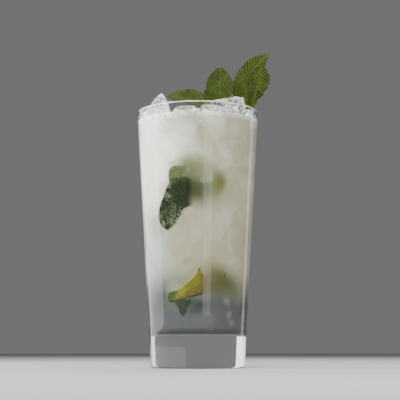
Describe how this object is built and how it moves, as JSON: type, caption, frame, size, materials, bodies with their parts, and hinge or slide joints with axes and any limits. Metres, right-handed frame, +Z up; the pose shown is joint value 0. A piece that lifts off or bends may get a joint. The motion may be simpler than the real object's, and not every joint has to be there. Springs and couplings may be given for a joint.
{
  "type": "mojito cocktail",
  "caption": "Tall tapered tumbler with a heavy base, filled with a milky, iced lime and mint drink and topped with cracked ice and mint sprigs.",
  "frame": {"origin": "centre of the glass's base, on the surface it stands on", "axes": "+Z up along the glass's axis; -Y towards the viewer; +X to the viewer's right, where the mint stands"},
  "size_m": [0.0837, 0.0748, 0.1985],
  "materials": {
    "clear_glass": "clear, polished",
    "cloudy_drink": "cloudy liquid over crushed ice",
    "ice": "wet, cracked, partly clear",
    "mint_leaf": "satin, veined leaf",
    "mint_stem": "satin stalk"
  },
  "bodies": {
    "root": {"glass": "clear_glass", "drink": "cloudy_drink", "ice_peak": "ice", "ice_left_front": "ice", "ice_front_left": "ice", "ice_front": "ice", "ice_block": "ice", "ice_right": "ice", "ice_left": "ice", "ice_back_left": "ice", "ice_centre": "ice", "ice_back_right": "ice", "mint_leaf_left": "mint_leaf", "mint_leaf_small": "mint_leaf", "mint_leaf_middle": "mint_leaf", "mint_leaf_right": "mint_leaf", "mint_leaf_tall": "mint_leaf", "mint_stem_middle": "mint_stem", "mint_stem_right": "mint_stem"}
  },
  "joints": []
}
